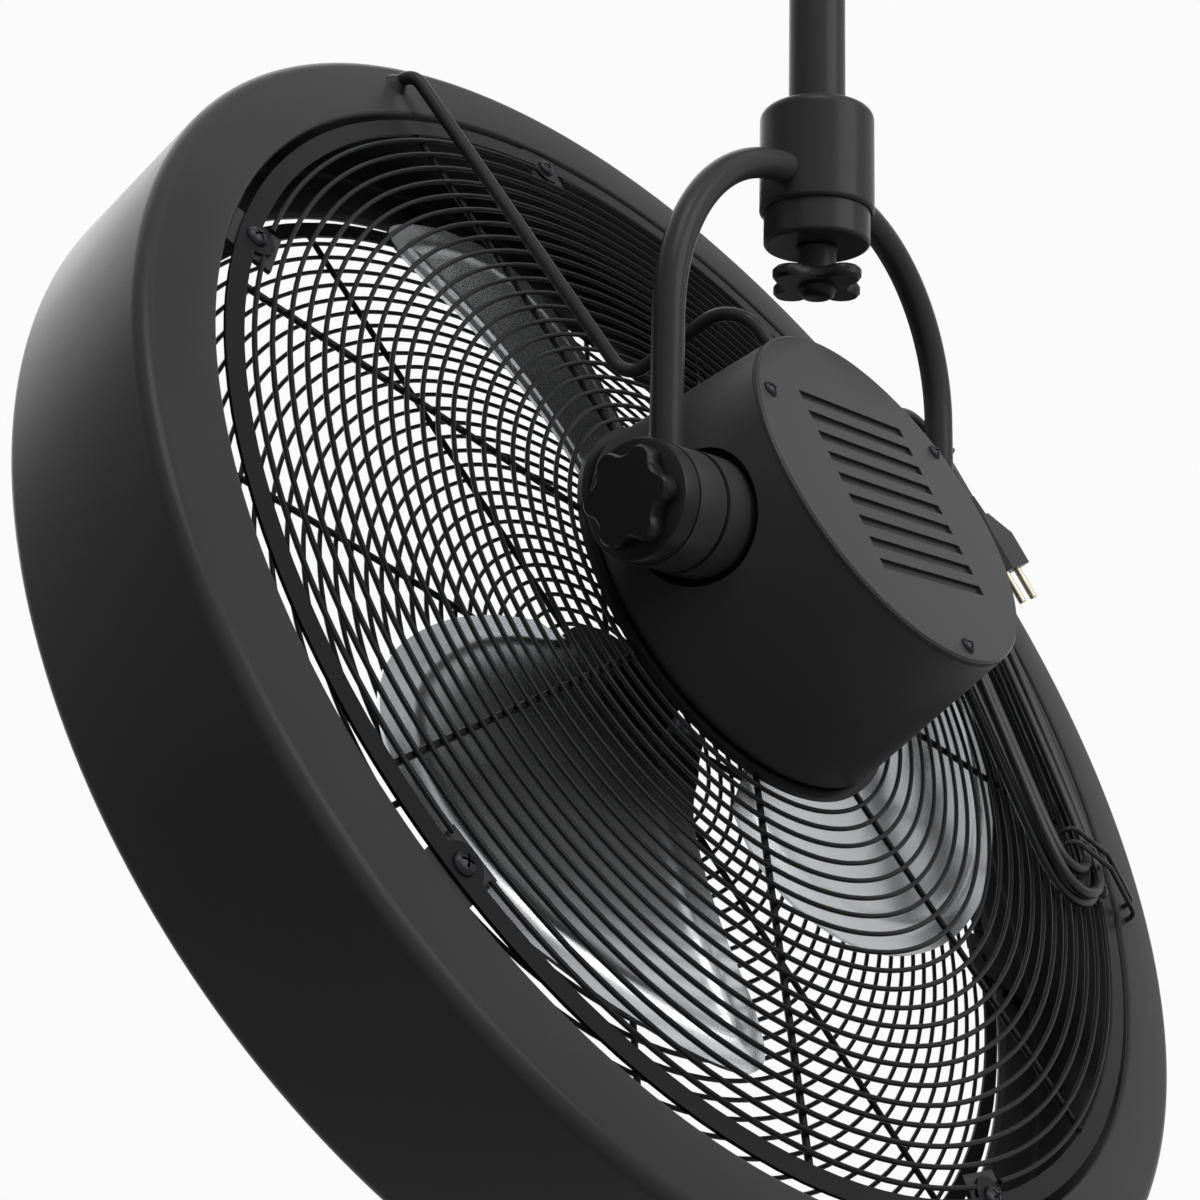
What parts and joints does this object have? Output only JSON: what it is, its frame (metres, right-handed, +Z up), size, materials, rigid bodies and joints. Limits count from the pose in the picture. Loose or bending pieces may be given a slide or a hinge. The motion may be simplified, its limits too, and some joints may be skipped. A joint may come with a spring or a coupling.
{
  "type": "ceiling fan",
  "caption": "Ceiling-hung drum fan: wire-grilled round shroud with its motor in a tilting yoke on a downrod, clamped by star and wing knobs, mains cord wound on hooks.",
  "frame": {"origin": "middle of the ceiling plate's upper face, which bears on the ceiling", "axes": "+Z up along the downrod; +X along the tilt axis; +Y towards the motor end, so the air blows towards -Y and down"},
  "size_m": [0.6399, 0.3667, 0.8237],
  "materials": {
    "black_paint": "matte",
    "black_screw_steel": "satin",
    "bright_steel": "satin",
    "black_plastic": "matte",
    "bushing_plastic": "matte",
    "cord_rubber": "matte",
    "blade_aluminium": "satin",
    "core_iron": "matte",
    "coil_copper": "satin",
    "pin_nickel": "satin"
  },
  "bodies": {
    "ceiling_mount": {"ceiling_plate": "black_paint", "rod_socket": "black_paint", "downrod": "black_paint", "rod_pin": "bright_steel", "canopy": "black_paint", "canopy_screws": "black_screw_steel", "rod_collar": "bright_steel"},
    "yoke": {"swivel_sleeve": "black_paint", "swivel_bushing": "bushing_plastic", "lower_cap": "black_paint", "yoke_arm_left": "black_paint", "yoke_arm_right": "black_paint", "yoke_end_left": "black_paint", "yoke_end_right": "black_paint"},
    "wing_knob": {"wing_knob": "black_plastic", "wing_stud": "bright_steel"},
    "tilt_knob_left": {"tilt_knob_left": "black_plastic", "tilt_stud_left": "bright_steel"},
    "tilt_knob_right": {"tilt_knob_right": "black_plastic", "tilt_stud_right": "bright_steel"},
    "head": {"pivot_boss_left": "black_paint", "pivot_boss_right": "black_paint", "drum_shroud": "black_paint", "rear_tabs": "black_paint", "front_tabs": "black_paint", "rear_grille_band": "black_paint", "rear_grille_rings": "black_paint", "rear_grille_spokes": "black_paint", "front_grille_band": "black_paint", "front_grille_rings": "black_paint", "front_grille_spokes": "black_paint", "front_grille_cap": "black_paint", "motor_mount_plate": "black_paint", "motor_housing": "black_paint", "back_plate": "black_paint", "aiming_rod": "black_paint", "cord_hook_lower": "black_paint", "cord_hook_upper": "black_paint", "rear_grille_screws": "black_screw_steel", "front_grille_screws": "black_screw_steel", "back_plate_screws": "black_screw_steel", "motor_bearings": "bright_steel", "motor_can": "bright_steel", "motor_end_shield": "bright_steel", "plug_body": "black_plastic", "run_capacitor": "black_plastic", "supply_lead": "cord_rubber", "cord_hank": "cord_rubber", "plug_lead": "cord_rubber", "cord_gland": "cord_rubber", "stator_core": "core_iron", "stator_coils": "coil_copper", "plug_pins": "pin_nickel"},
    "rotor": {"motor_shaft": "bright_steel", "rotor_core": "core_iron", "blade_1": "blade_aluminium", "blade_2": "blade_aluminium", "blade_3": "blade_aluminium", "hub_spider": "black_paint", "hub_nut": "bright_steel"}
  },
  "joints": [
    {"name": "swivel", "type": "hinge", "parent": "ceiling_mount", "child": "yoke", "pos_m": [0, 0, -0.28], "axis": [0, 0, 1], "range_deg": [-175, 175]},
    {"name": "wing_knob_turn", "type": "hinge", "parent": "yoke", "child": "wing_knob", "pos_m": [0, 0, -0.35], "axis": [0, 0, 1], "continuous": true},
    {"name": "tilt", "type": "hinge", "parent": "yoke", "child": "head", "pos_m": [0, 0, -0.48], "axis": [1, 0, 0], "range_deg": [-27.5, 62.5]},
    {"name": "tilt_knob_left_turn", "type": "hinge", "parent": "yoke", "child": "tilt_knob_left", "pos_m": [0.13, 0, -0.48], "axis": [1, 0, 0], "continuous": true},
    {"name": "tilt_knob_right_turn", "type": "hinge", "parent": "yoke", "child": "tilt_knob_right", "pos_m": [-0.13, 0, -0.48], "axis": [1, 0, 0], "continuous": true},
    {"name": "rotor_spin", "type": "hinge", "parent": "head", "child": "rotor", "pos_m": [0, 0, -0.48], "axis": [0, 0.887, 0.4617], "continuous": true}
  ]
}
